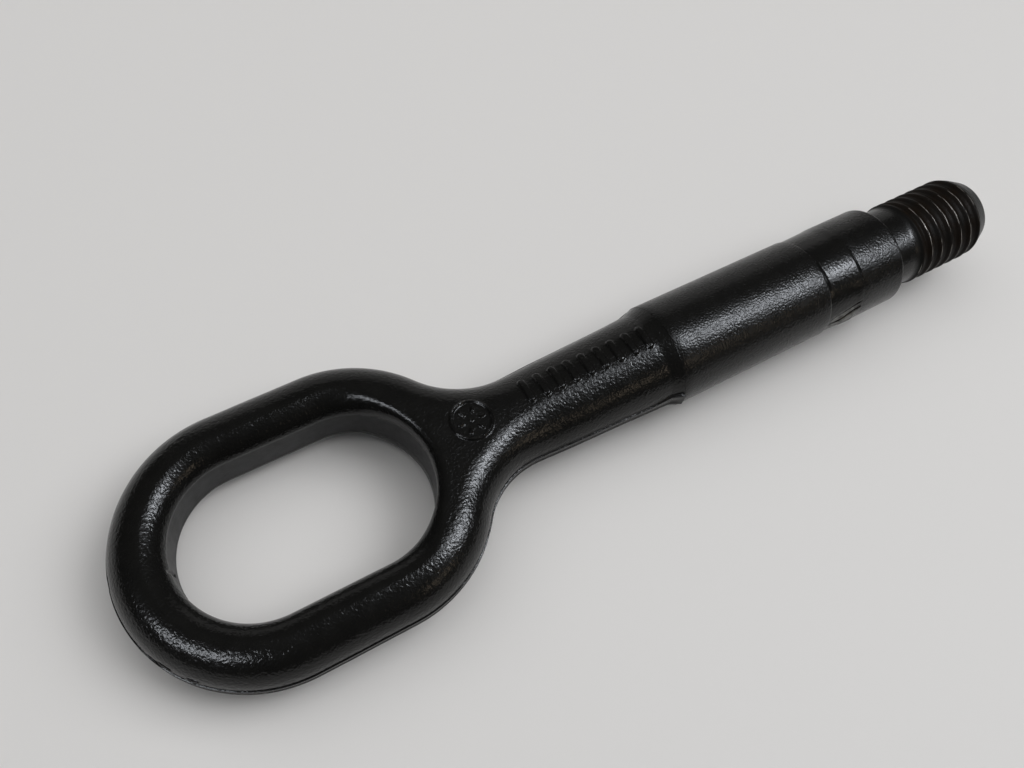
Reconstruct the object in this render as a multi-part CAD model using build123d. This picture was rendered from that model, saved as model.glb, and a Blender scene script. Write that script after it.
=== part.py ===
"""Screw-in tow eye: one steel forging with a turned shank and stud.

A long eye takes the hook or shackle, a neck swells out of it into a round shank, and behind the
shank's square shoulder stands the stud that screws into the vehicle's towing socket.

Millimetres. +X runs along the shank towards the stud, and +Z out of the flat of the eye.
The origin is the centre of the shoulder.
"""

import math
import os

from build123d import *

# Stud, screwed into the socket up to the shoulder; its thread is not cut here
STUD_DIAMETER = 20.0
THREAD_LENGTH = 23.5
STUD_CHAMFER = 2.3
STUD_CHAMFER_LENGTH = 4.6
RELIEF_LENGTH = 7.5
RELIEF_DEPTH = 0.6
RELIEF_RAMP = 1.2

# Shank, from the shoulder back to the forged neck: collar, forged band and plain stretch
SHOULDER_HEIGHT = 1.7
SHOULDER_CHAMFER = 0.8
COLLAR_LENGTH = 12.5
BAND_LENGTH = 9.4
BAND_START_DEPTH = 0.3
BAND_END_DEPTH = 0.15
PLAIN_LENGTH = 40.6

# Neck, swelling from the waist beside the eye to a little less than the shank
NECK_LENGTH = 35.5
NECK_STEP_SIDE = 0.85
NECK_STEP_TOP = 0.65
FLARE_LENGTH = 3.6
FLARE_RISE = 0.5
WAIST_WIDTH = 19.0
WAIST_FILLET_RADIUS = 18.2

# Eye, a long ring with straight sides and round ends; the hole is pierced a little wider than its rounded edge
HOLE_LENGTH = 51.8
HOLE_WIDTH = 32.4
HOLE_EDGE_RADIUS = 3.4
SHEAR_DEPTH = 0.2
BAR_WIDTH = 11.35
END_BAR_WIDTH = 11.2
EYE_THICKNESS = 17.2

# Parting line, trimmed to a low land round the forging, with a lip left at the end of the neck
LAND_HEIGHT = 2.2
LAND_STAND = 0.25
LIP_STAND = 1.0
BAND_FLASH_HEIGHT = 1.6
BAND_FLASH_STAND = 0.6

# Width of the flats that the full rounds leave on the crown and at mid-height
ROUND_FLAT = 0.3

# Places along X and radii that follow from the sizes above
stud_radius = STUD_DIAMETER / 2
relief_radius = stud_radius - RELIEF_DEPTH
stud_end_x = RELIEF_LENGTH + THREAD_LENGTH
shank_radius = stud_radius + SHOULDER_HEIGHT
band_start_radius = shank_radius - BAND_START_DEPTH
band_end_radius = shank_radius - BAND_END_DEPTH
band_end_x = -COLLAR_LENGTH
band_start_x = band_end_x - BAND_LENGTH
shank_start_x = band_start_x - PLAIN_LENGTH
waist_x = shank_start_x - NECK_LENGTH

# Eye outline: the waist fillet touches the eye's near end arc and runs out parallel to the shank
outer_radius = HOLE_WIDTH / 2 + BAR_WIDTH
half_straight = (HOLE_LENGTH - HOLE_WIDTH) / 2
fillet_centre_y = WAIST_WIDTH / 2 + WAIST_FILLET_RADIUS
fillet_angle = math.asin(fillet_centre_y / (outer_radius + WAIST_FILLET_RADIUS))
near_arc_x = waist_x - (outer_radius + WAIST_FILLET_RADIUS) * math.cos(fillet_angle)
eye_centre_x = near_arc_x - half_straight
far_arc_x = eye_centre_x - HOLE_LENGTH / 2 - END_BAR_WIDTH + outer_radius

# Full rounds: the bar's outer side at the eye, and the section at the end of the neck
eye_round = min(
    EYE_THICKNESS / 2 - ROUND_FLAT / 2,
    WAIST_WIDTH / 2 - ROUND_FLAT / 2,
    min(BAR_WIDTH, END_BAR_WIDTH) + SHEAR_DEPTH - HOLE_EDGE_RADIUS - ROUND_FLAT,
)
neck_end_width = shank_radius - NECK_STEP_SIDE
neck_end_height = shank_radius - NECK_STEP_TOP
neck_round = min(neck_end_width, neck_end_height) - ROUND_FLAT / 2

# Share of the neck at which its sections stand, and how sharply it swells towards the shank
NECK_STATIONS = (0, 0.25, 0.5, 0.75, 1)
NECK_SWELL = 1.5


def eye_outline(stand=0.0):
    """Plan of the eye up to the waist, standing out from the forging by stand."""
    turn = math.degrees(fillet_angle)
    radius = outer_radius + stand
    waist_y = WAIST_WIDTH / 2 + stand
    with BuildSketch() as plan:
        with BuildLine():
            CenterArc((waist_x, fillet_centre_y), WAIST_FILLET_RADIUS - stand, 270, turn - 90)
            CenterArc((near_arc_x, 0), radius, turn, 90 - turn)
            Line((near_arc_x, radius), (far_arc_x, radius))
            CenterArc((far_arc_x, 0), radius, 90, 90)
            mirror(about=Plane.XZ)
            Line((waist_x, waist_y), (waist_x, -waist_y))
        make_face()
    return plan.sketch


def hole_outline(stand=0.0):
    """Plan of the hole in the eye, widened all round by stand."""
    return Pos(eye_centre_x, 0) * SlotOverall(HOLE_LENGTH + 2 * stand, HOLE_WIDTH + 2 * stand)


def crown_edges(solid):
    """Edges that lie in the top and bottom planes of the eye."""
    faces = solid.faces().filter_by(Axis.Z).sort_by(Axis.Z)
    return ShapeList(faces[0].edges() + faces[-1].edges())


def make_eye():
    """Ring of D section: a straight pierced wall with a crisp edge inside, a full round outside."""
    half = EYE_THICKNESS / 2
    blank = extrude(eye_outline(), half, both=True)
    rim = crown_edges(blank).filter_by(lambda edge: edge.center().X < waist_x - ROUND_FLAT)
    blank = fillet(rim, eye_round)
    web = extrude(hole_outline(-SHEAR_DEPTH), EYE_THICKNESS, both=True)
    ring = blank - web
    ring = fillet(new_edges(blank, web, combined=ring), HOLE_EDGE_RADIUS)
    return ring - extrude(hole_outline(), EYE_THICKNESS, both=True)


def neck_sections():
    """Place, half width, half height and corner radius of each section along the neck."""
    flare_x = shank_start_x - FLARE_LENGTH
    sections = []
    for share in NECK_STATIONS:
        swell = share**NECK_SWELL
        sections.append(
            (
                waist_x + (flare_x - waist_x) * share,
                WAIST_WIDTH / 2 + (neck_end_width - WAIST_WIDTH / 2) * swell,
                EYE_THICKNESS / 2 + (neck_end_height - EYE_THICKNESS / 2) * swell,
                eye_round + (neck_round - eye_round) * swell,
            )
        )
    flared = (neck_end_width + FLARE_RISE, neck_end_height + FLARE_RISE, neck_round + FLARE_RISE)
    sections.append((shank_start_x, *flared))
    return sections


def across(x):
    """Plane square to the shank at x, with its own X along the width."""
    return Plane(origin=(x, 0, 0), x_dir=(0, 1, 0), z_dir=(1, 0, 0))


def make_neck():
    """Neck lofted from the waist's section to the flare at the shank."""
    return loft(
        [
            across(x) * RectangleRounded(2 * width, 2 * height, corner)
            for x, width, height, corner in neck_sections()
        ],
        ruled=True,
    )


def make_land():
    """Trimmed parting line round the eye and along the neck, ending in a lip at the shank."""
    eye_land = extrude(eye_outline(LAND_STAND) - hole_outline(BAR_WIDTH / 2), LAND_HEIGHT / 2, both=True)
    sections = neck_sections()
    stands = [LAND_STAND] * len(NECK_STATIONS) + [LIP_STAND]
    neck_land = loft(
        [
            across(section[0]) * Rectangle(2 * (section[1] + stand), LAND_HEIGHT)
            for section, stand in zip(sections, stands)
        ]
    )
    return eye_land, neck_land


def make_turned():
    """Shank and stud, turned about X."""
    chamfer_radius = stud_radius - STUD_CHAMFER
    chamfer_x = stud_end_x - STUD_CHAMFER_LENGTH
    with BuildSketch(Plane.XZ) as profile:
        with BuildLine():
            Polyline(
                (shank_start_x, 0),
                (shank_start_x, shank_radius),
                (band_start_x, shank_radius),
                (band_start_x, band_start_radius),
                (band_end_x, band_end_radius),
                (band_end_x, shank_radius),
                (-SHOULDER_CHAMFER, shank_radius),
                (0, shank_radius - SHOULDER_CHAMFER),
                (0, relief_radius),
                (RELIEF_LENGTH - RELIEF_RAMP, relief_radius),
                (RELIEF_LENGTH, stud_radius),
                (chamfer_x, stud_radius),
                (stud_end_x, chamfer_radius),
                (stud_end_x, 0),
                close=True,
            )
        make_face()
    return revolve(profile.sketch, Axis.X)


def make_band_flash():
    """Trimmed flash left on both sides of the forged band."""
    width = 2 * (band_start_radius + BAND_FLASH_STAND)
    middle_x = (band_start_x + band_end_x) / 2
    return Pos(middle_x, 0, 0) * Box(BAND_LENGTH, width, BAND_FLASH_HEIGHT)


def make_tow_eye():
    """The whole forging as one solid."""
    eye_land, neck_land = make_land()
    return make_eye() + make_neck() + make_turned() + eye_land + neck_land + make_band_flash()


if __name__ == "__main__":
    os.makedirs("parts", exist_ok=True)
    tow_eye = make_tow_eye()
    tow_eye.label = "tow_eye"
    export_step(tow_eye, "parts/tow_eye.step")
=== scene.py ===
"""Looks of a forged screw-in tow eye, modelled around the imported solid.

One closed mesh stands for the solid: the forged eye and neck, the turned shank and the threaded stud.
Sizes are in millimetres in the part's own frame, and the mesh is made in metres.
"""

import math

import bmesh
import bpy
import numpy as np
from mathutils import Matrix, Vector, noise


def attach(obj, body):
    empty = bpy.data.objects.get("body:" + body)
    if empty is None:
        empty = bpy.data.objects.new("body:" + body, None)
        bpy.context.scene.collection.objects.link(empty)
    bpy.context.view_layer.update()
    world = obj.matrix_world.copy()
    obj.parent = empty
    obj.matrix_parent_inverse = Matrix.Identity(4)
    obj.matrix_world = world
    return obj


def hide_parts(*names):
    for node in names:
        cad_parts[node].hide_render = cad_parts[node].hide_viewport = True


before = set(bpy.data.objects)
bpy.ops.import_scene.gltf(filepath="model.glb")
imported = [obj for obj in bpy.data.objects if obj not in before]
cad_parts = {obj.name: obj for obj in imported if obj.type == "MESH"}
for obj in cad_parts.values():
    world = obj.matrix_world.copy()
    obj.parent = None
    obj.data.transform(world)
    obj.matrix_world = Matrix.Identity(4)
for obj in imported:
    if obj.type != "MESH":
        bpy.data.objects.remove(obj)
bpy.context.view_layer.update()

MM = 0.001

# Stud, turned about X, within the solid's
STUD_RADIUS = 10.0
STUD_END_X = 31.0
CHAMFER_X = 26.2
CHAMFER_ROUND = 0.25
TIP_RADIUS = 7.7
TIP_BREAK = 0.15
END_FACE_RADIUS = 7.2
RELIEF_RADIUS = 9.4
RELIEF_PLAIN_END_X = 6.4
RELIEF_END_X = 7.4
RELIEF_RAMP = 1.2

# Thread, right-handed; its flanks run from the crest's share of half the pitch to the root's
THREAD_PITCH = 3.15
THREAD_PHASE_X = 9.5
THREAD_DEPTH = 0.45
THREAD_START_X = 7.9
THREAD_RUN_IN = 1.6
THREAD_RUN_OUT = 0.6
CREST_SHARE = 0.07
ROOT_SHARE = 0.8

# Shank, turned about X, within the solid's
SHANK_RADIUS = 11.7
SHANK_START_X = -62.5
SHOULDER_ROUND = 0.7

# Forged band: a groove at its start and a circle at its end, beside which it fades into the collar
BAND_START_X = -21.9
BAND_END_X = -12.5
BAND_START_RADIUS = 11.4
BAND_END_RADIUS = 11.6
GROOVE_RADIUS = 11.15
GROOVE_FLOOR = 0.25
GROOVE_WIDTH = 0.55
END_CIRCLE_DEPTH = 0.1
FADED_CIRCLE_DEPTH = 0.01
COLLAR_FADE = (0.75, 1.0)

# Turns about X at which each circle starts to show, is crisp, starts to fade and has faded out
START_CIRCLE_TURNS = np.radians((68, 94, 117, 138))
END_CIRCLE_TURNS = np.radians((78, 96, 117, 136))

# Trimmed flash on both sides of the band; its rise and fall are shares of the band from its two ends
FLASH_STAND = 0.55
FLASH_HALF = 3.0
FLASH_TOP_SHARE = 0.1
FLASH_RISE = (0.1, 0.5)
FLASH_FALL = (0.02, 0.25)

# Scrapes on the near side of the band: height at its start and end, depth and half width
SCRAPES = (
    (2.5, 4.6, 0.14, 0.14),
    (1.5, 3.7, 0.1, 0.12),
    (0.5, 3.0, 0.5, 0.2),
    (-0.4, 0.3, 0.14, 0.14),
)
SCRAPE_END_FADE = 0.06
SCRAPE_START_STRENGTH = 0.3
SCRAPE_GAIN = 0.8

# Patch of pale grey painted along the scrapes as a painted reflection of the floor: height of its middle at
# the band's start and end, and half width
FLOOR_REFLECTION_START = 0.6
FLOOR_REFLECTION_END = 2.2
FLOOR_REFLECTION_HALF = 3.0
FLOOR_REFLECTION_FULL_SHARE = 0.3
FLOOR_REFLECTION_END_FADE = 0.2
FLOOR_REFLECTION_DEPTHS = (0.03, 0.12)

# Neck, a little slimmer than the solid's at its end and fuller behind the waist
NECK_LENGTH = 35.5
NECK_END_WIDTH = 10.75
NECK_END_HEIGHT = 10.85
NECK_END_CORNER = 10.6
NECK_SWELL = 1.5
NECK_FULLNESS = 0.25
NECK_FULL_RUN = 10.0
FLARE_LENGTH = 2.8
FLARE_END = 11.6
FLARE_POWER = 1.05

# Eye, as in the solid
WAIST_WIDTH = 19.0
WAIST_FILLET_RADIUS = 18.2
HOLE_LENGTH = 51.8
HOLE_WIDTH = 32.4
BAR_WIDTH = 11.35
END_BAR_WIDTH = 11.2
EYE_HALF_HEIGHT = 8.6
EYE_CORNER = 7.7

# How far before and past the waist the eye's flat-topped section turns into the neck's oval one
OVAL_BEFORE_WAIST = 9.0
OVAL_PAST_WAIST = 7.0

# Least half width that the oval section is worked out with
LEAST_HALF_WIDTH = 1.0

# The die's rounding round the hole, sharper beside the neck, stops short of the sheared wall
HOLE_EDGE_RADIUS = 5.2
HOLE_EDGE_NEAR_RADIUS = 2.4
HOLE_EDGE_TURN = math.radians(78)

# Distances from the hole's near end over which it grows sharper, and reach of the crown's crease
HOLE_EDGE_CHANGE = (10.0, 1.0)
CREASE_REACH = 0.12

# Trimmed parting line, with a lip at the end of the neck; its section is in shares of stand and height
LAND_HALF = 1.35
LAND_STAND = 0.25
LAND_SKIN = 0.3
FAR_LIP_STAND = 0.1
NEAR_LIP_STAND = 0.5
LIP_LENGTH = 9.0
LIP_SPREAD = 0.9
UPPER_LAND = ((0.8, 0.97), (1.0, 0.85), (1.0, 0.65), (0.4, 0.45))
LAND_PROFILE = UPPER_LAND + tuple((share, -height) for share, height in reversed(UPPER_LAND))

# Raised marks on the forging, plain and of no meaning: a ringed dial and a row of bars
DIAL_PLACE = (-107.9, 1.4)
DIAL_RADIUS = 4.15
DIAL_LINE = 0.45
DIAL_TICKS = 6
DIAL_TICK_REACH = (1.9, 2.7)
BAR_MARKS = 9
BAR_FIRST = (-94.7, 2.3)
BAR_PITCH = (3.46, -0.13)
BAR_MARK_LENGTH = 5.6
BAR_MARK_WIDTH = 1.5
MARK_STAND = 0.48
MARK_BEVEL = 0.24
MARK_MARGIN = 0.7
MARK_LEAST_Z = EYE_HALF_HEIGHT / 2

# Unevenness of the skin: size and depth of its dents, and of the marks that piercing left in the hole
SKIN_DENTS = ((8.0, 0.06), (2.4, 0.012))
SHANK_DENTS = ((6.0, 0.012),)
SHEAR_MARK_DEPTH = 0.12
SHEAR_MARK_SIZE = 0.8
SHEAR_MARK_SQUEEZE = (1.0, 1.0, 0.12)
WALL_EDGE_GAP = 0.3
WALL_REACH = 0.05

# Knocks on the parting line and the crack in the hole's wall: start, end, depth and reach
NICKS = (
    ((-180.7, 4.8, 2.2), (-180.8, 4.2, 2.2), 0.8, 0.7),
    ((-178.6, -11.4, 1.8), (-178.2, -12.2, 1.8), 0.6, 0.4),
    ((-177.6, -13.0, 2.5), (-176.5, -14.9, 2.5), 0.6, 0.38),
    ((-174.2, -18.1, 2.5), (-173.2, -19.1, 2.5), 0.6, 0.35),
    ((-170.0, 0.7, 5.6), (-169.9, 1.7, -1.5), 0.45, 0.3),
)
NICK_MARGIN = 0.8

# How finely the forging is divided: lines across half its plan, and rows along each line
NECK_LINES = 100
FILLET_LINES = 56
CORNER_LINES = 26
NEAR_LINES = 40
SIDE_LINES = 32
FAR_LINES = 66
TOP_ROWS = 42
BOTTOM_ROWS = 24
WALL_ROWS = 14
FINE_STEPS = 400
HOLE_SEARCH_STEPS = 80
NICK_CUTS = 2
MARK_CUTS = 1
SHARP_ANGLE = math.radians(40)

# How finely the turned stretch is divided, with closer columns across the near flash
COARSE_COLUMNS = 120
FINE_COLUMNS = 66
FINE_TURNS = (math.radians(156), math.radians(194))
SHANK_STEP = 2.0
BAND_STEP = 0.45
RELIEF_STEP = 0.7
THREAD_STEP = 0.2
THREAD_END_GAP = 0.5
SHOULDER_ROWS = 7
END_FACE_RINGS = 3

# Rows beside the turned edges: distance along X, and depth below the shank or rise above the relief
SHANK_START_ROWS = ((0.05, 0.06),)
SHANK_START_GAP = 0.2
BAND_START_ROWS = ((-0.15, 0.04), (-0.03, 0.15))
BAND_END_GAP = 0.2
END_CIRCLE_ROWS = (-0.06, 0.08)
COLLAR_START_ROWS = ((0.18, 0.02),)
EDGE_GAP = 0.4
RELIEF_CORNER_ROWS = ((0.02, 0.5), (0.15, 0.15))
RELIEF_CORNER_LENGTH = 0.5

# Grain, satin and dullness of the paint on the parts of the surface; a point takes the first that holds it
COARSE_GRAIN = {"wall": 0.2, "land": 0.15, "forging": 1.0, "band": 0.8, "rest": 0.0}
FINE_GRAIN = {"forging": 0.0, "band": 0.0, "stud": 0.5, "rest": 0.8}
SATIN = {"thread": 0.25, "tip": 0.15, "wall": 0.2, "land": 0.05, "forging": 0.0, "band": 0.0, "rest": 0.05}
DULLNESS = {"thread": 1.0, "wall": 0.5, "land": 0.4, "rest": 0.0}
STUD_SKIN_X = 0.1

# Wear and painted highlight on the thread's crests, painted only on the near side: how its edges fade, how
# deep it reaches and its far limit; brown paint's run-in
CREST_WEAR_AND_HIGHLIGHT_FADE = (0.4, 1.6)
CREST_WEAR_AND_HIGHLIGHT_DEPTHS = (0.3, 0.05)
CREST_HIGHLIGHT_FAR_Y = 3.0
BROWN_RUN_IN = 1.0

# Places that follow from the sizes
flare_x = SHANK_START_X - FLARE_LENGTH
waist_x = SHANK_START_X - NECK_LENGTH
outer_radius = HOLE_WIDTH / 2 + BAR_WIDTH
half_straight = (HOLE_LENGTH - HOLE_WIDTH) / 2
fillet_centre_y = WAIST_WIDTH / 2 + WAIST_FILLET_RADIUS
fillet_angle = math.asin(fillet_centre_y / (outer_radius + WAIST_FILLET_RADIUS))
near_arc_x = waist_x - (outer_radius + WAIST_FILLET_RADIUS) * math.cos(fillet_angle)
eye_centre_x = near_arc_x - half_straight
far_arc_x = eye_centre_x - HOLE_LENGTH / 2 - END_BAR_WIDTH + outer_radius
hole_near_x = eye_centre_x + HOLE_LENGTH / 2


def smooth_step(lower, upper, value):
    """Goes from 0 at lower to 1 at upper, level at both ends."""
    share = np.clip((value - lower) / (upper - lower), 0.0, 1.0)
    return share * share * (3.0 - 2.0 * share)


def smooth_min(a, b, reach):
    """Lesser of two heights, with their crease rounded over reach."""
    near = np.maximum(reach - np.abs(a - b), 0.0)
    return np.minimum(a, b) - near * near / (4.0 * reach)


def neck_size(x):
    """Half width, half height and corner radius of the forging's section at x."""
    waist = WAIST_WIDTH / 2
    swell = np.clip((x - waist_x) / (flare_x - waist_x), 0.0, 1.0) ** NECK_SWELL
    flare = np.clip((x - flare_x) / FLARE_LENGTH, 0.0, 1.0) ** FLARE_POWER
    rise = (FLARE_END - NECK_END_HEIGHT) * flare
    full = NECK_FULLNESS * smooth_step(waist_x, waist_x + NECK_FULL_RUN, x) * (1.0 - swell)
    width = waist + (NECK_END_WIDTH - waist) * swell + (FLARE_END - NECK_END_WIDTH) * flare + full
    height = EYE_HALF_HEIGHT + (NECK_END_HEIGHT - EYE_HALF_HEIGHT) * swell + rise
    corner = EYE_CORNER + (NECK_END_CORNER - EYE_CORNER) * swell + rise
    return width, height, corner


def hole_distance(x, y):
    """How far a plan point lies outside the hole."""
    past_straight = np.maximum(np.abs(x - eye_centre_x) - half_straight, 0.0)
    return np.hypot(past_straight, y) - HOLE_WIDTH / 2


def rim_distance(x, y):
    """How far a plan point lies inside the outer outline."""
    y = np.abs(y)
    beside_fillet = np.arctan2(y, x - near_arc_x) < fillet_angle
    return np.select(
        [x >= waist_x, (x > near_arc_x) & beside_fillet, x > near_arc_x, x > far_arc_x],
        [
            neck_size(x)[0] - y,
            np.hypot(x - waist_x, y - fillet_centre_y) - WAIST_FILLET_RADIUS,
            outer_radius - np.hypot(x - near_arc_x, y),
            outer_radius - y,
        ],
        outer_radius - np.hypot(x - far_arc_x, y),
    )


def crown(x, y):
    """Height of the forging's surface above the parting plane."""
    height, corner = neck_size(x)[1:]
    from_rim = np.maximum(rim_distance(x, y), 0.0)
    from_corner = np.clip(from_rim, 0.0, corner)
    flat_topped = height - corner + np.sqrt(corner**2 - (corner - from_corner) ** 2)
    off_axis = np.abs(y)
    half_width = np.maximum(off_axis + from_rim, LEAST_HALF_WIDTH)
    oval = height * np.sqrt(1.0 - (off_axis / half_width) ** 2)
    oval_share = smooth_step(waist_x - OVAL_BEFORE_WAIST, waist_x + OVAL_PAST_WAIST, x)
    outside = flat_topped + (oval - flat_topped) * oval_share
    change_start, change_end = HOLE_EDGE_CHANGE
    near_share = smooth_step(hole_near_x - change_start, hole_near_x - change_end, x)
    edge = HOLE_EDGE_RADIUS + (HOLE_EDGE_NEAR_RADIUS - HOLE_EDGE_RADIUS) * near_share
    reach = edge * math.sin(HOLE_EDGE_TURN)
    from_hole = np.clip(hole_distance(x, y), 0.0, reach)
    inside = height - edge + np.sqrt(edge**2 - (reach - from_hole) ** 2)
    return smooth_min(outside, inside, CREASE_REACH)


def plan_lines():
    """Rim points and inward directions of lines across half the plan, from the shank to the far end."""
    neck_x = np.linspace(SHANK_START_X, waist_x, NECK_LINES, endpoint=False)
    neck_rim = np.column_stack([neck_x, neck_size(neck_x)[0]])
    neck_in = np.column_stack([np.zeros(NECK_LINES), -np.ones(NECK_LINES)])
    to_corner = math.atan2(-fillet_centre_y, hole_near_x - waist_x)
    fillet_turn = np.concatenate([
        np.linspace(-math.pi / 2, to_corner, FILLET_LINES, endpoint=False),
        np.linspace(to_corner, fillet_angle - math.pi, CORNER_LINES, endpoint=False),
    ])
    fillet_in = np.column_stack([np.cos(fillet_turn), np.sin(fillet_turn)])
    fillet_rim = fillet_in * WAIST_FILLET_RADIUS + [waist_x, fillet_centre_y]
    near_turn = np.linspace(fillet_angle, math.pi / 2, NEAR_LINES, endpoint=False)
    near_in = -np.column_stack([np.cos(near_turn), np.sin(near_turn)])
    near_rim = [near_arc_x, 0.0] - near_in * outer_radius
    side_x = np.linspace(near_arc_x, far_arc_x, SIDE_LINES, endpoint=False)
    side_rim = np.column_stack([side_x, np.full(SIDE_LINES, outer_radius)])
    side_in = np.column_stack([np.zeros(SIDE_LINES), -np.ones(SIDE_LINES)])
    far_turn = np.linspace(math.pi / 2, math.pi, FAR_LINES)
    far_in = -np.column_stack([np.cos(far_turn), np.sin(far_turn)])
    far_rim = [far_arc_x, 0.0] - far_in * outer_radius
    rim = np.concatenate([neck_rim, fillet_rim, near_rim, side_rim, far_rim])
    inward = np.concatenate([neck_in, fillet_in, near_in, side_in, far_in])
    return rim, inward


def land_top(x, y):
    """Height of the top of the parting line, which on the near side rises to the lip at the shank."""
    rise = LIP_SPREAD * smooth_step(SHANK_START_X - LIP_LENGTH, SHANK_START_X, x)
    return LAND_HALF * (1.0 + rise * (y < 0.0))


def line_lengths(rim, inward, first_at_hole):
    """Length of each line, to the middle of the neck or to the hole."""
    to_middle = rim[:first_at_hole, 1] / -inward[:first_at_hole, 1]
    at_hole = rim[first_at_hole:]
    onward = inward[first_at_hole:]
    to_hole = np.zeros(len(at_hole))
    for _ in range(HOLE_SEARCH_STEPS):
        point = at_hole + onward * to_hole[:, None]
        to_hole += hole_distance(point[:, 0], point[:, 1])
    return np.concatenate([to_middle, to_hole])


def section_rows(rim, inward, length, rows, lowest):
    """Points of each line from its inner end to the rim and the parting line, evenly spaced."""
    spread = (1.0 - np.cos(np.linspace(0.0, math.pi, FINE_STEPS))) / 2.0
    made = np.zeros((len(rim), rows, 3))
    for i in range(len(rim)):
        inset = np.append(length[i] * spread[::-1], 0.0)
        x = rim[i, 0] + inward[i, 0] * inset
        y = rim[i, 1] + inward[i, 1] * inset
        z = np.maximum(crown(x, y), lowest[i])
        z[-1] = lowest[i]
        run = np.concatenate([[0.0], np.cumsum(np.hypot(np.diff(inset), np.diff(z)))])
        places = np.linspace(0.0, run[-1], rows)
        for axis, values in enumerate((x, y, z)):
            made[i, :, axis] = np.interp(places, run, values)
    return made


def land_rows(rim, inward, lip_stand, top):
    """Points down the trimmed parting line, from just under the top rows to just over the bottom ones."""
    lip = smooth_step(flare_x, SHANK_START_X, rim[:, 0])
    stand = LAND_STAND + (lip_stand - LAND_STAND) * lip
    made = np.zeros((len(rim), len(LAND_PROFILE), 3))
    for row, (share, height) in enumerate(LAND_PROFILE):
        made[:, row, :2] = rim - inward * (stand * (share + (1.0 - share) * lip))[:, None]
        made[:, row, 2] = height * (top if height > 0.0 else LAND_HALF)
    return made


class MeshParts:
    """Vertices and faces gathered for one mesh."""

    def __init__(self):
        self.points = []
        self.faces = []

    def add_points(self, points):
        """Adds an array of points and gives back their numbers in the same shape."""
        first = sum(len(p) for p in self.points)
        flat = points.reshape(-1, 3)
        self.points.append(flat)
        return np.arange(first, first + len(flat)).reshape(points.shape[:-1])

    def add_grid(self, numbers, flip=False):
        """Adds the quads between the rows and columns of a grid of point numbers."""
        a = numbers[:-1, :-1].ravel()
        b = numbers[1:, :-1].ravel()
        c = numbers[1:, 1:].ravel()
        d = numbers[:-1, 1:].ravel()
        quads = np.column_stack([d, c, b, a] if flip else [a, b, c, d])
        self.faces.extend(quads.tolist())

    def add_zip(self, outer, inner, outer_turn, inner_turn):
        """Adds triangles between two closed loops that are sorted by their turn about the axis."""
        i = j = 0
        while i < len(outer) or j < len(inner):
            next_outer = outer_turn[i + 1] if i + 1 < len(outer) else outer_turn[0] + math.tau
            next_inner = inner_turn[j + 1] if j + 1 < len(inner) else inner_turn[0] + math.tau
            a = outer[i % len(outer)]
            b = inner[j % len(inner)]
            if j >= len(inner) or (i < len(outer) and next_outer <= next_inner):
                self.faces.append([int(a), int(outer[(i + 1) % len(outer)]), int(b)])
                i += 1
            else:
                self.faces.append([int(a), int(inner[(j + 1) % len(inner)]), int(b)])
                j += 1


def add_forging(parts):
    """Adds the eye and the neck, and gives back the numbers of the loop where the neck meets the shank."""
    rim, inward = plan_lines()
    first_at_hole = NECK_LINES + FILLET_LINES
    length = line_lengths(rim, inward, first_at_hole)
    bottom_of_land = np.full(len(rim), LAND_HALF)
    bottom = section_rows(rim, inward, length, BOTTOM_ROWS, bottom_of_land)[:, ::-1] * [1.0, 1.0, -1.0]
    sides = []
    for mirror, lip_stand in ((1.0, FAR_LIP_STAND), (-1.0, NEAR_LIP_STAND)):
        land = land_top(rim[:, 0], rim[:, 1] * mirror)
        top = section_rows(rim, inward, length, TOP_ROWS, land)
        half = np.concatenate([top, land_rows(rim, inward, lip_stand, land), bottom], axis=1)
        sides.append(parts.add_points(half * [1.0, mirror, 1.0]))
    left, right = sides
    right[: first_at_hole + 1, [0, -1]] = left[: first_at_hole + 1, [0, -1]]
    right[-1] = left[-1]
    parts.add_grid(left)
    parts.add_grid(right, flip=True)
    at_hole = half[first_at_hole:]
    share = np.linspace(0.0, 1.0, WALL_ROWS + 2)[None, 1:-1, None]
    wall = at_hole[:, -1:] + (at_hole[:, :1] - at_hole[:, -1:]) * share
    left_wall = parts.add_points(wall)
    right_wall = parts.add_points(wall * [1.0, -1.0, 1.0])
    right_wall[[0, -1]] = left_wall[[0, -1]]
    for side, between, flip in ((left, left_wall, False), (right, right_wall, True)):
        around = np.concatenate([side[first_at_hole:, -1:], between, side[first_at_hole:, :1]], axis=1)
        parts.add_grid(around, flip)
    return np.concatenate([left[0], right[0][-2:0:-1]])


def from_crest(x, turn):
    """Distance from the nearest crest of the thread, as a share of half the pitch."""
    phase = ((x - THREAD_PHASE_X) / THREAD_PITCH - turn / math.tau) % 1.0
    return np.minimum(phase, 1.0 - phase) * 2.0


def thread_radius(x, turn):
    """Radius of the threaded stud at x and turn about X, from +Y towards +Z."""
    groove = smooth_step(CREST_SHARE, ROOT_SHARE, from_crest(x, turn))
    cut = smooth_step(THREAD_START_X, THREAD_START_X + THREAD_RUN_IN, x)
    threaded = STUD_RADIUS - THREAD_DEPTH * groove * cut
    ramp_share = min((x - RELIEF_END_X) / RELIEF_RAMP + 0.5, 1.0)
    ramp = RELIEF_RADIUS + (STUD_RADIUS - RELIEF_RADIUS) * ramp_share
    chamfer_slope = (STUD_RADIUS - TIP_RADIUS) / (STUD_END_X - CHAMFER_X)
    chamfer = STUD_RADIUS - chamfer_slope * (x - CHAMFER_X)
    return np.minimum(smooth_min(threaded, chamfer, CHAMFER_ROUND), ramp)


def band_share(x):
    """How far along the band x lies, from 0 at its start to 1 at the collar."""
    return (x - BAND_START_X) / (BAND_END_X - BAND_START_X)


def circle_share(turn, turns):
    """How crisp a circle at an end of the band is at each turn, from 0 where it has faded out to 1."""
    rise_start, rise_end, fall_start, fall_end = turns
    return smooth_step(rise_start, rise_end, turn) * (1.0 - smooth_step(fall_start, fall_end, turn))


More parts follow.
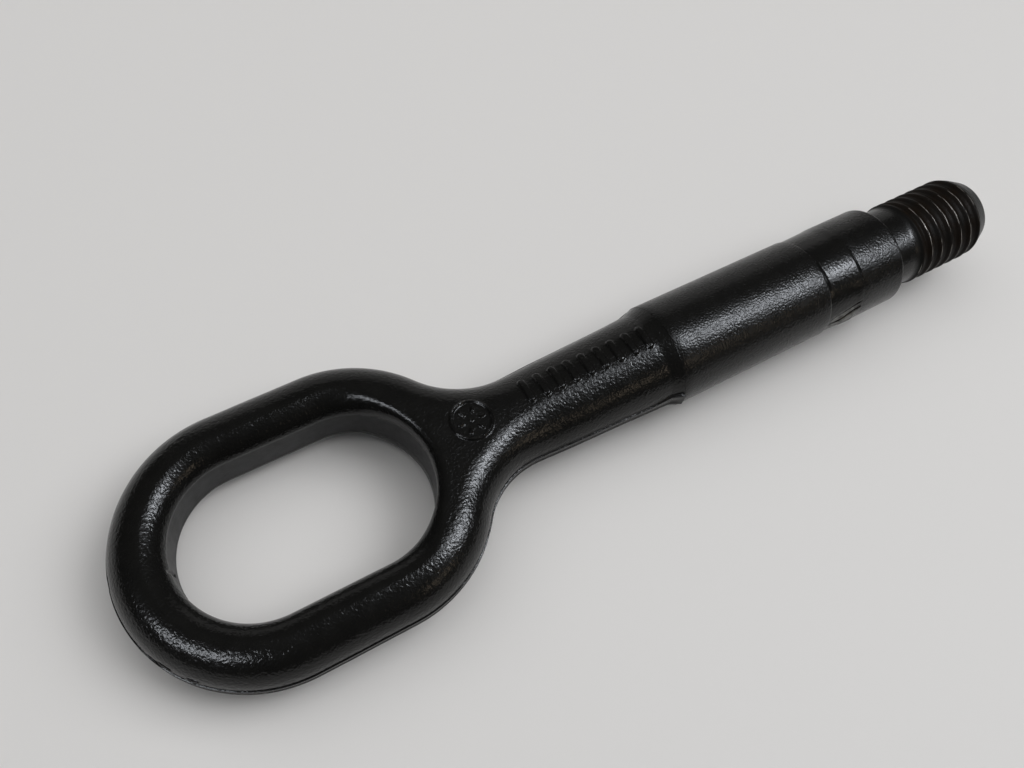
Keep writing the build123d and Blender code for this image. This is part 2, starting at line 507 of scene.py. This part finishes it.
def scrape_depth(x, turn):
    """Depth of the scrapes that trimming left on the near side of the band, deeper towards the collar."""
    share = band_share(x)
    across = SHANK_RADIUS * np.sin(turn)
    cut = 0.0
    for start, end, depth, half in SCRAPES:
        cut = cut + depth * np.exp(-(((across - start - (end - start) * share) / half) ** 2))
    from_ends = smooth_step(0.0, SCRAPE_END_FADE, share * (1.0 - share))
    return (np.cos(turn) < 0.0) * cut * from_ends * (SCRAPE_START_STRENGTH + SCRAPE_GAIN * share)


def band_radius(x, turn):
    """Radius of the forged band, with its trimmed flash and the scrapes on the near side."""
    share = band_share(x)
    plain = BAND_START_RADIUS + (BAND_END_RADIUS - BAND_START_RADIUS) * share
    across = np.abs(SHANK_RADIUS * np.sin(turn))
    flash = FLASH_STAND * (1.0 - smooth_step(FLASH_TOP_SHARE * FLASH_HALF, FLASH_HALF, across))
    flash = flash * smooth_step(*FLASH_RISE, share) * smooth_step(*FLASH_FALL, 1.0 - share)
    faded = 1.0 - circle_share(turn, END_CIRCLE_TURNS)
    to_collar = faded * smooth_step(*COLLAR_FADE, share) * (SHANK_RADIUS - BAND_END_RADIUS)
    return plain + flash + to_collar - scrape_depth(x, turn)


def band_start_radius(turn):
    """Radius in the groove where the shank meets the band."""
    return BAND_START_RADIUS - (BAND_START_RADIUS - GROOVE_RADIUS) * circle_share(turn, START_CIRCLE_TURNS)


def band_end_radius(turn):
    """Radius in the circle where the band meets the collar."""
    depth = SHANK_RADIUS - BAND_END_RADIUS + END_CIRCLE_DEPTH
    return SHANK_RADIUS - FADED_CIRCLE_DEPTH - depth * circle_share(turn, END_CIRCLE_TURNS)


def turned_rows(turn):
    """Places along X of the turned rows and their radii at each turn, with close rows at each edge."""
    rows = [(SHANK_START_X, FLARE_END)]

    def add_run(start, end, step, radius):
        """Adds evenly spaced rows of one radius, or of a radius that depends on x and turn."""
        count = max(int(round(abs(end - start) / step)), 1)
        for x in np.linspace(start, end, count + 1):
            rows.append((x, radius(x, turn) if callable(radius) else radius))

    def add_edge(edge_x, steps):
        """Adds rows beside an edge of the shank."""
        for along, depth in steps:
            rows.append((edge_x + along, SHANK_RADIUS - depth))

    add_edge(SHANK_START_X, SHANK_START_ROWS)
    add_run(SHANK_START_X + SHANK_START_GAP, BAND_START_X - EDGE_GAP, SHANK_STEP, SHANK_RADIUS)
    add_edge(BAND_START_X, BAND_START_ROWS)
    rows.append((BAND_START_X, band_start_radius(turn)))
    rows.append((BAND_START_X + GROOVE_FLOOR, band_start_radius(turn)))
    add_run(BAND_START_X + GROOVE_WIDTH, BAND_END_X - BAND_END_GAP, BAND_STEP, band_radius)
    for along in END_CIRCLE_ROWS:
        rows.append((BAND_END_X + along, band_end_radius(turn)))
    add_edge(BAND_END_X, COLLAR_START_ROWS)
    add_run(BAND_END_X + EDGE_GAP, -SHOULDER_ROUND - EDGE_GAP, SHANK_STEP, SHANK_RADIUS)
    for lean in np.radians(np.linspace(90, 0, SHOULDER_ROWS)):
        radius = SHANK_RADIUS + SHOULDER_ROUND * (math.sin(lean) - 1)
        rows.append((SHOULDER_ROUND * (math.cos(lean) - 1), radius))
    for along, rise in RELIEF_CORNER_ROWS:
        rows.append((along, RELIEF_RADIUS + rise))
    add_run(RELIEF_CORNER_LENGTH, RELIEF_PLAIN_END_X, RELIEF_STEP, RELIEF_RADIUS)
    add_run(RELIEF_END_X, STUD_END_X - THREAD_END_GAP, THREAD_STEP, thread_radius)
    rows.append((STUD_END_X - TIP_BREAK, TIP_RADIUS - TIP_BREAK))
    for ring in range(END_FACE_RINGS):
        rows.append((STUD_END_X, END_FACE_RADIUS * (1.0 - ring / END_FACE_RINGS)))
    return rows


def column_turns():
    """Turns about X of the columns, close together across the flash with its scrapes on the near side."""
    fine = np.linspace(FINE_TURNS[0], FINE_TURNS[1], FINE_COLUMNS, endpoint=False)
    coarse = np.linspace(FINE_TURNS[1], FINE_TURNS[0] + math.tau, COARSE_COLUMNS, endpoint=False)
    return np.sort(np.concatenate([fine, coarse]) % math.tau)


def add_turned(parts, neck_loop):
    """Adds the shank and the stud, joined to the neck's loop by the step."""
    turn = column_turns()
    rings = []
    for x, radius in turned_rows(turn):
        rings.append(np.column_stack([np.full(len(turn), x), np.cos(turn) * radius, np.sin(turn) * radius]))
    numbers = parts.add_points(np.array(rings))
    parts.add_grid(np.column_stack([numbers, numbers[:, :1]]), flip=True)
    tip = int(parts.add_points(np.array([[STUD_END_X, 0.0, 0.0]]))[0])
    for k in range(len(turn)):
        parts.faces.append([int(numbers[-1, k]), int(numbers[-1, (k + 1) % len(turn)]), tip])
    points = np.concatenate(parts.points)[neck_loop]
    loop_turn = np.arctan2(points[:, 2], points[:, 1]) % math.tau
    order = np.argsort(loop_turn)
    parts.add_zip(numbers[0], neck_loop[order], turn, loop_turn[order])


def bar_distance(x, y, start, end, width):
    """How far plan points lie outside a round-ended bar."""
    run = np.array(end) - np.array(start)
    share = np.clip(((x - start[0]) * run[0] + (y - start[1]) * run[1]) / (run @ run), 0.0, 1.0)
    return np.hypot(x - start[0] - share * run[0], y - start[1] - share * run[1]) - width / 2


def line_distance(points, start, end):
    """How far points lie from the straight line between two places."""
    run = np.subtract(end, start)
    share = np.clip((points - start) @ run / (run @ run), 0.0, 1.0)
    return np.linalg.norm(points - start - share[:, None] * run, axis=1)


def mark_distance(x, y):
    """How far plan points lie outside the nearest raised mark."""
    from_dial = np.hypot(x - DIAL_PLACE[0], y - DIAL_PLACE[1])
    nearest = np.minimum(np.abs(from_dial - DIAL_RADIUS), from_dial) - DIAL_LINE / 2
    for turn in np.arange(DIAL_TICKS) * math.tau / DIAL_TICKS:
        out = np.array([math.cos(turn), math.sin(turn)])
        start, end = (DIAL_PLACE + out * reach for reach in DIAL_TICK_REACH)
        nearest = np.minimum(nearest, bar_distance(x, y, start, end, DIAL_LINE))
    reach = np.array([0.0, (BAR_MARK_LENGTH - BAR_MARK_WIDTH) / 2])
    for place in range(BAR_MARKS):
        middle = np.array(BAR_FIRST) + np.array(BAR_PITCH) * place
        nearest = np.minimum(nearest, bar_distance(x, y, middle - reach, middle + reach, BAR_MARK_WIDTH))
    return nearest


def near_marks(points):
    """Which points lie on top of the forging and close to a raised mark."""
    x, y, z = points.T
    return (x < flare_x) & (z > MARK_LEAST_Z) & (mark_distance(x, y) < MARK_MARGIN)


def near_nicks(points):
    """Which points lie close to a knock."""
    return np.min([line_distance(points, *nick[:2]) for nick in NICKS], axis=0) < NICK_MARGIN


def divide_faces(built, near, cuts):
    """Divides the faces whose middles are near something, and the odd-sided faces left around them."""
    centres = np.array([face.calc_center_median() for face in built.faces]) / MM
    built.edges.index_update()
    edges = {edge for face, inside in zip(built.faces, near(centres)) if inside for edge in face.edges}
    in_order = sorted(edges, key=lambda edge: edge.index)
    bmesh.ops.subdivide_edges(built, edges=in_order, cuts=cuts, use_grid_fill=True)
    bmesh.ops.triangulate(built, faces=[face for face in built.faces if len(face.verts) > 4])


def refine_marks(built):
    """Makes the mesh finer round the knocks and marks, and puts the marks' points on the crown."""
    divide_faces(built, near_nicks, NICK_CUTS)
    divide_faces(built, near_marks, MARK_CUTS)
    points = np.array([point.co for point in built.verts]) / MM
    height = crown(points[:, 0], points[:, 1])
    for point, inside, z in zip(built.verts, near_marks(points), height):
        if inside:
            point.co.z = z * MM


def noise_values(points, size):
    """Noise from 0 to 1 at each point, with bumps of about the given size."""
    return np.array([noise.noise(Vector(point)) for point in points / size]) * 0.5 + 0.5


def on_wall(points):
    """Which points lie on the sheared wall of the hole, short of its edges."""
    edge_z = EYE_HALF_HEIGHT - HOLE_EDGE_RADIUS * (1.0 - math.cos(HOLE_EDGE_TURN)) - WALL_EDGE_GAP
    at_hole = np.abs(hole_distance(points[:, 0], points[:, 1])) < WALL_REACH
    return at_hole & (np.abs(points[:, 2]) < edge_z)


def shape_skin(points):
    """How far each point moves out along its normal, for marks, dents, knocks and shear marks."""
    x, y, z = points.T
    forged = x <= SHANK_START_X
    out = np.zeros(len(points))
    for kind, dents in ((forged, SKIN_DENTS), (~forged & (x < 0.0), SHANK_DENTS)):
        for size, depth in dents:
            out[kind] -= depth * noise_values(points[kind], size)
    marked = (x < flare_x) & (z > MARK_LEAST_Z)
    from_mark = mark_distance(x[marked], y[marked])
    out[marked] += MARK_STAND * (1.0 - smooth_step(-MARK_BEVEL, MARK_BEVEL, from_mark))
    for start, end, depth, reach in NICKS:
        out -= depth * np.exp(-((line_distance(points, start, end) / reach) ** 2))
    wall = on_wall(points)
    out[wall] -= SHEAR_MARK_DEPTH * noise_values(points[wall] * SHEAR_MARK_SQUEEZE, SHEAR_MARK_SIZE)
    return out


def crest_wear_and_highlight(points):
    """How much bare steel shows on the thread's crests, as wear and as a painted highlight kept to the near
    side, from 0 to 1.
    """
    x, y, z = points.T
    fade_start, fade_end = (CREST_SHARE * share for share in CREST_WEAR_AND_HIGHLIGHT_FADE)
    crest = 1.0 - smooth_step(fade_start, fade_end, from_crest(x, np.arctan2(z, y)))
    lowest, highest = (STUD_RADIUS - depth for depth in CREST_WEAR_AND_HIGHLIGHT_DEPTHS)
    # Kept to the near side, where the crests catch the light: a painted highlight
    return crest * smooth_step(lowest, highest, np.hypot(y, z)) * (y < CREST_HIGHLIGHT_FAR_Y)


def painted_floor_reflection(points):
    """How strongly pale grey is painted beside the scrapes on the band's near side, as a painted reflection
    of the floor, from 0 to 1.
    """
    x, y, z = points.T
    share = band_share(x)
    from_middle = np.abs(z - FLOOR_REFLECTION_START - (FLOOR_REFLECTION_END - FLOOR_REFLECTION_START) * share)
    beside = 1.0 - smooth_step(FLOOR_REFLECTION_FULL_SHARE * FLOOR_REFLECTION_HALF, FLOOR_REFLECTION_HALF, from_middle)
    from_ends = smooth_step(0.0, FLOOR_REFLECTION_END_FADE, share * (1.0 - share))
    in_scrape = smooth_step(*FLOOR_REFLECTION_DEPTHS, scrape_depth(x, np.arctan2(z, y)))
    # Pale grey is painted here as the floor's reflection on the band's lower near side
    return (y < 0.0) * beside * from_ends * (1.0 - in_scrape)


def set_zones(mesh, points):
    """Stores how coarse, fine, satin, dull, sheared and threaded the skin is, the bare steel on the crests
    with its painted highlight, and the painted floor reflection by the scrapes.
    """
    x, y, z = points.T
    forging = x <= SHANK_START_X
    on_land = (z > -LAND_HALF) & (z < land_top(x, y)) & (rim_distance(x, y) < LAND_SKIN)
    places = {
        "wall": on_wall(points),
        "land": forging & on_land,
        "forging": forging,
        "band": (x > BAND_START_X) & (x < BAND_END_X),
        "stud": x > STUD_SKIN_X,
        "thread": (x > RELIEF_END_X) & (x < CHAMFER_X + THREAD_RUN_OUT),
        "tip": x >= CHAMFER_X,
        "rest": np.full(len(points), True),
    }

    def pick(strengths):
        """Strength at each point, from the first place that holds it."""
        return np.select([places[name] for name in strengths], list(strengths.values()))

    zones = {
        "coarse": pick(COARSE_GRAIN),
        "fine": pick(FINE_GRAIN),
        "satin": pick(SATIN),
        "dull": pick(DULLNESS),
        "sheared": places["wall"].astype(float),
        "threaded": places["thread"] * smooth_step(RELIEF_END_X, RELIEF_END_X + BROWN_RUN_IN, x),
        # Crest wear, with a painted highlight on the near side
        "worn_and_glint": places["thread"] * crest_wear_and_highlight(points),
        # Painted reflection of the floor beside the scrapes
        "floor_reflection": places["band"] * painted_floor_reflection(points),
    }
    for name, values in zones.items():
        mesh.attributes.new(name, "FLOAT", "POINT").data.foreach_set("value", values.astype(np.float32))


def mesh_points(mesh):
    """The points of a mesh as an array, in millimetres."""
    flat = np.empty(len(mesh.vertices) * 3)
    mesh.vertices.foreach_get("co", flat)
    return flat.reshape(-1, 3) / MM


def make_tow_eye():
    """The whole part as one mesh object."""
    parts = MeshParts()
    neck_loop = add_forging(parts)
    add_turned(parts, neck_loop)
    mesh = bpy.data.meshes.new("tow_eye_look")
    mesh.from_pydata((np.concatenate(parts.points) * MM).tolist(), [], parts.faces)
    built = bmesh.new()
    built.from_mesh(mesh)
    loose = [point for point in built.verts if not point.link_faces]
    bmesh.ops.delete(built, geom=loose, context="VERTS")
    refine_marks(built)
    bmesh.ops.recalc_face_normals(built, faces=built.faces)
    built.to_mesh(mesh)
    built.free()
    points = mesh_points(mesh)
    normals = np.empty(len(points) * 3)
    mesh.vertex_normals.foreach_get("vector", normals)
    moved = points + normals.reshape(-1, 3) * shape_skin(points)[:, None]
    mesh.vertices.foreach_set("co", (moved * MM).ravel())
    set_zones(mesh, points)
    mesh.shade_smooth()
    mesh.set_sharp_from_angle(angle=SHARP_ANGLE)
    made = bpy.data.objects.new("tow_eye_look", mesh)
    bpy.context.scene.collection.objects.link(made)
    return made


# Colours of the paint, of what shows through it, of the pale grey painted beside the scrapes as a floor
# reflection, and of the bare steel on the crests, which is also a painted highlight
PAINT_DARK = (0.0052, 0.0053, 0.0052)
PAINT_LIGHT = (0.0094, 0.0093, 0.0088)
THREAD_BROWN = (0.008, 0.0052, 0.0032)
SHEARED_GREY = (0.05, 0.051, 0.054)
# Pale grey for the painted reflection of the floor beside the scrapes
PAINTED_FLOOR_REFLECTION_GREY = (0.13, 0.13, 0.125)
# Bare steel on the crests, both wear and a painted highlight
BARE_STEEL_AND_HIGHLIGHT = (0.45, 0.43, 0.4)

# Gloss of the paint, and sizes of its patches and of the grain below it
PAINT_SPECULAR = 0.23
DULL_SPECULAR = 0.04
PAINT_ROUGHNESS = (0.17, 0.25)
MOTTLE_SIZE = 4.0
WEAR_AND_GLINT_SIZE = 3.0
BROWN_SIZE = 3.0
GLOSS_PATCH_SIZE = 2.5
FLOOR_REFLECTION_SIZE = 1.2
COARSE_SIZE = 0.6
FINE_SIZE = 0.4
GRAIN_DEPTH = 0.09


class Nodes:
    """Short ways to add and link the nodes of one material."""

    def __init__(self, name):
        self.material = bpy.data.materials.new(name)
        self.material.use_nodes = True
        self.tree = self.material.node_tree
        self.shader = self.tree.nodes["Principled BSDF"]
        self.place = self.add("ShaderNodeTexCoord").outputs["Object"]

    def fill(self, socket, value):
        """Links a socket to another node's output, or sets it to a constant."""
        if isinstance(value, bpy.types.NodeSocket):
            self.tree.links.new(value, socket)
        else:
            socket.default_value = value

    def add(self, kind, inputs=(), **settings):
        """Adds a node with its inputs filled and its settings made."""
        node = self.tree.nodes.new(kind)
        for name, value in settings.items():
            setattr(node, name, value)
        for socket, value in inputs:
            self.fill(node.inputs[socket], value)
        return node

    def noise(self, size, detail=2.0, roughness=0.5, distortion=0.0):
        """Noise from 0 to 1 with bumps of about the given size in millimetres."""
        inputs = (
            ("Vector", self.place),
            ("Scale", 1.0 / (size * MM)),
            ("Detail", detail),
            ("Roughness", roughness),
            ("Distortion", distortion),
        )
        return self.add("ShaderNodeTexNoise", inputs).outputs["Fac"]

    def zone(self, name):
        """Strength of a zone stored on the mesh."""
        return self.add("ShaderNodeAttribute", attribute_name=name).outputs["Fac"]

    def spread(self, value, span, onto):
        """Maps a span of a value onto another range, held at its ends."""
        inputs = (
            ("Value", value),
            ("From Min", span[0]),
            ("From Max", span[1]),
            ("To Min", onto[0]),
            ("To Max", onto[1]),
        )
        return self.add("ShaderNodeMapRange", inputs).outputs["Result"]

    def times(self, a, b):
        """Product of two values."""
        return self.add("ShaderNodeMath", ((0, a), (1, b)), operation="MULTIPLY").outputs[0]

    def plus(self, a, b):
        """Sum of two values."""
        return self.add("ShaderNodeMath", ((0, a), (1, b)), operation="ADD").outputs[0]

    def blend(self, share, first, second):
        """Colour that goes from the first to the second with share."""
        node = self.add("ShaderNodeMix", data_type="RGBA")
        sockets = {socket.identifier: socket for socket in (*node.inputs, *node.outputs)}
        self.fill(sockets["Factor_Float"], share)
        for name, colour in (("A_Color", first), ("B_Color", second)):
            self.fill(sockets[name], (*colour, 1.0) if isinstance(colour, tuple) else colour)
        return sockets["Result_Color"]

    def set(self, name, value):
        """Fills an input of the shader."""
        self.fill(self.shader.inputs[name], value)


def paint_colour(nodes, worn_and_glint):
    """Mottled black, brown in the thread, grey where it is sheared, pale grey beside the scrapes as a painted
    floor reflection, and bare steel on the crests as wear and painted highlight.
    """
    mottle = nodes.noise(MOTTLE_SIZE, 4.0, 0.6)
    colour = nodes.blend(mottle, PAINT_DARK, PAINT_LIGHT)
    brown_patches = nodes.spread(nodes.noise(BROWN_SIZE, 3.0), span=(0.3, 0.7), onto=(0.2, 1.0))
    colour = nodes.blend(nodes.times(nodes.zone("threaded"), brown_patches), colour, THREAD_BROWN)
    colour = nodes.blend(nodes.times(nodes.zone("sheared"), mottle), colour, SHEARED_GREY)
    # Pale grey painted beside the scrapes: a painted reflection of the floor
    ragged_reflection = nodes.times(nodes.zone("floor_reflection"), nodes.noise(FLOOR_REFLECTION_SIZE, 3.0))
    reflection_share = nodes.spread(ragged_reflection, span=(0.2, 0.5), onto=(0.0, 1.0))
    colour = nodes.blend(reflection_share, colour, PAINTED_FLOOR_REFLECTION_GREY)
    # Bare steel on the crests: wear and painted highlight
    return nodes.blend(worn_and_glint, colour, BARE_STEEL_AND_HIGHLIGHT)


def paint_bump(nodes):
    """Normal of the paint, which follows the coarse skin of the forging and the fine one of the shank."""
    coarse = nodes.times(nodes.noise(COARSE_SIZE, 1.0, 0.5, 0.4), nodes.zone("coarse"))
    fine = nodes.times(nodes.noise(FINE_SIZE, 0.0), nodes.zone("fine"))
    inputs = (("Height", nodes.plus(coarse, fine)), ("Strength", 1.0), ("Distance", GRAIN_DEPTH * MM))
    return nodes.add("ShaderNodeBump", inputs).outputs["Normal"]


def paint():
    """Semi-gloss black paint that follows the skin below it, with the wear of each zone, painted highlights
    on the thread's crests and a painted floor reflection beside the scrapes.
    """
    nodes = Nodes("black_paint")
    # Crest lines of bare steel, partly wear and partly painted highlight
    rubbed_and_glint = nodes.times(nodes.zone("worn_and_glint"), nodes.noise(WEAR_AND_GLINT_SIZE, 3.0))
    worn_and_glint = nodes.spread(rubbed_and_glint, span=(0.28, 0.5), onto=(0.0, 0.6))
    nodes.set("Base Color", paint_colour(nodes, worn_and_glint))
    nodes.set("Metallic", worn_and_glint)
    specular = nodes.spread(nodes.zone("dull"), span=(0.0, 1.0), onto=(PAINT_SPECULAR, DULL_SPECULAR))
    nodes.set("Specular IOR Level", specular)
    patchy = nodes.spread(nodes.noise(GLOSS_PATCH_SIZE, 3.0), span=(0.25, 0.75), onto=PAINT_ROUGHNESS)
    nodes.set("Roughness", nodes.plus(patchy, nodes.zone("satin")))
    nodes.set("Normal", paint_bump(nodes))
    return nodes.material


tow_eye = make_tow_eye()
tow_eye.data.materials.append(paint())
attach(tow_eye, "root")
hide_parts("tow_eye")

# Camera, as fitted to the photograph
FOCAL_PIXELS = 938.79
IMAGE_WIDTH = 1024
SENSOR_WIDTH = 36.0
CAMERA_ELEVATION = math.radians(62.87)
CAMERA_AZIMUTH = math.radians(41.84)
CAMERA_ROLL = math.radians(13.94)
CAMERA_DISTANCE = 199.96
CAMERA_TARGET = (-93.83, 8.03)
CAMERA_CLIP = 10.0

# The camera's right and ahead, level with the part's X and Y
camera_right = Vector((math.cos(CAMERA_AZIMUTH), -math.sin(CAMERA_AZIMUTH), 0))
camera_ahead = Vector((math.sin(CAMERA_AZIMUTH), math.cos(CAMERA_AZIMUTH), 0))

# Floor, which touches the shank's start and the eye, in millimetres
EYE_REST_X = -174.0
FLOOR_HALF = 2000.0
FLOOR_COLOUR = (0.75, 0.75, 0.75, 1)
FLOOR_ROUGHNESS = 0.7

# Lights, in metres, all aimed at one place on the part, and their tints
LIGHT_AIM = (-0.075, 0, 0)
COOL = (0.9, 0.94, 1.0)
WARM = (1.0, 0.985, 0.97)
AMBER = (1.0, 0.82, 0.62)
ROOM_COLOUR = (1.0, 0.99, 0.97, 1)
ROOM_STRENGTH = 0.1


def make_camera():
    """Camera that sees the part as the photograph does."""
    forward = camera_ahead * math.cos(CAMERA_ELEVATION) - Vector((0, 0, math.sin(CAMERA_ELEVATION)))
    up = camera_right.cross(forward)
    rolled_right = camera_right * math.cos(CAMERA_ROLL) + up * math.sin(CAMERA_ROLL)
    rolled_up = up * math.cos(CAMERA_ROLL) - camera_right * math.sin(CAMERA_ROLL)
    data = bpy.data.cameras.new("camera")
    data.sensor_width = SENSOR_WIDTH
    data.lens = FOCAL_PIXELS / IMAGE_WIDTH * SENSOR_WIDTH
    data.clip_start = CAMERA_CLIP * MM
    camera = bpy.data.objects.new("camera", data)
    bpy.context.scene.collection.objects.link(camera)
    turn = Matrix((rolled_right, rolled_up, -forward)).transposed().to_4x4()
    place = (Vector((*CAMERA_TARGET, 0)) - forward * CAMERA_DISTANCE) * MM
    camera.matrix_world = Matrix.Translation(place) @ turn
    bpy.context.scene.camera = camera


def make_floor():
    """Plain pale floor under the part, sloped as the part lies on it."""
    slope = (SHANK_RADIUS - EYE_HALF_HEIGHT) / (SHANK_START_X - EYE_REST_X)
    corners = []
    for x, y in ((-1, -1), (1, -1), (1, 1), (-1, 1)):
        z = -SHANK_RADIUS - (x * FLOOR_HALF - SHANK_START_X) * slope
        corners.append((x * FLOOR_HALF * MM, y * FLOOR_HALF * MM, z * MM))
    mesh = bpy.data.meshes.new("floor")
    mesh.from_pydata(corners, [], [(0, 1, 2, 3)])
    floor = bpy.data.objects.new("floor", mesh)
    bpy.context.scene.collection.objects.link(floor)
    material = bpy.data.materials.new("floor")
    material.use_nodes = True
    shader = material.node_tree.nodes["Principled BSDF"]
    shader.inputs["Base Color"].default_value = FLOOR_COLOUR
    shader.inputs["Roughness"].default_value = FLOOR_ROUGHNESS
    mesh.materials.append(material)


def add_light(name, direction, along, distance, size, radiance, colour, glossy):
    """Area light that faces the part, and either shows in its gloss or lights what is matt.

    Its direction and the run of its long side are given as right, ahead and up in the camera's plan.
    """
    to_part = Matrix((camera_right, camera_ahead, (0, 0, 1))).transposed()
    out = (to_part @ Vector(direction)).normalized()
    run = to_part @ Vector(along)
    side = (run - out * run.dot(out)).normalized()
    data = bpy.data.lights.new(name, "AREA")
    data.shape = "RECTANGLE"
    data.size, data.size_y = size
    data.energy = radiance * math.pi * size[0] * size[1]
    data.color = colour
    light = bpy.data.objects.new(name, data)
    light.visible_glossy = glossy
    light.visible_diffuse = not glossy
    bpy.context.scene.collection.objects.link(light)
    turn = Matrix((side, out.cross(side), out)).transposed().to_4x4()
    light.matrix_world = Matrix.Translation(Vector(LIGHT_AIM) + out * distance) @ turn


def make_lights():
    """Soft studio light: long lights for the streaks in the gloss, and two wide ones for the rest."""
    add_light(
        "light_strip", direction=(0.54, 0.17, 0.83), along=(0.8, 0.0, -0.55), distance=1.2,
        size=(1.1, 0.19), radiance=7.5, colour=COOL, glossy=True,
    )
    add_light(
        "light_core", direction=(0.565, 0.17, 0.81), along=(0.8, 0.0, -0.55), distance=1.19,
        size=(0.44, 0.19), radiance=27.0, colour=COOL, glossy=True,
    )
    add_light(
        "light_panel", direction=(-0.35, -0.66, 0.66), along=(0.9, -0.15, 0.3), distance=1.2,
        size=(0.76, 0.15), radiance=22.0, colour=COOL, glossy=True,
    )
    add_light(
        "light_glow", direction=(0.86, -0.34, 0.46), along=(0.745, 0.667, 0.0), distance=1.2,
        size=(0.36, 0.14), radiance=3.4, colour=AMBER, glossy=True,
    )
    add_light(
        "light_sheen", direction=(-0.35, 0.9, 0.2), along=(1, 0, 0), distance=1.7,
        size=(1.8, 0.8), radiance=0.5, colour=WARM, glossy=True,
    )
    add_light(
        "light_key", direction=(-0.12, 0.17, 0.98), along=(1, 0, 0), distance=1.0,
        size=(2.2, 1.1), radiance=1.1, colour=WARM, glossy=False,
    )
    add_light(
        "light_side", direction=(0.58, 0.28, 0.77), along=(1, 0, 0), distance=2.2,
        size=(1.5, 1.5), radiance=2.9, colour=WARM, glossy=False,
    )


def make_room():
    """Faint even light from all round, not seen in gloss."""
    world = bpy.data.worlds.new("room")
    bpy.context.scene.world = world
    world.use_nodes = True
    background = world.node_tree.nodes["Background"]
    background.inputs["Color"].default_value = ROOM_COLOUR
    background.inputs["Strength"].default_value = ROOM_STRENGTH
    world.cycles_visibility.glossy = False


make_camera()
make_floor()
make_lights()
make_room()
bpy.context.scene.view_settings.view_transform = "Standard"
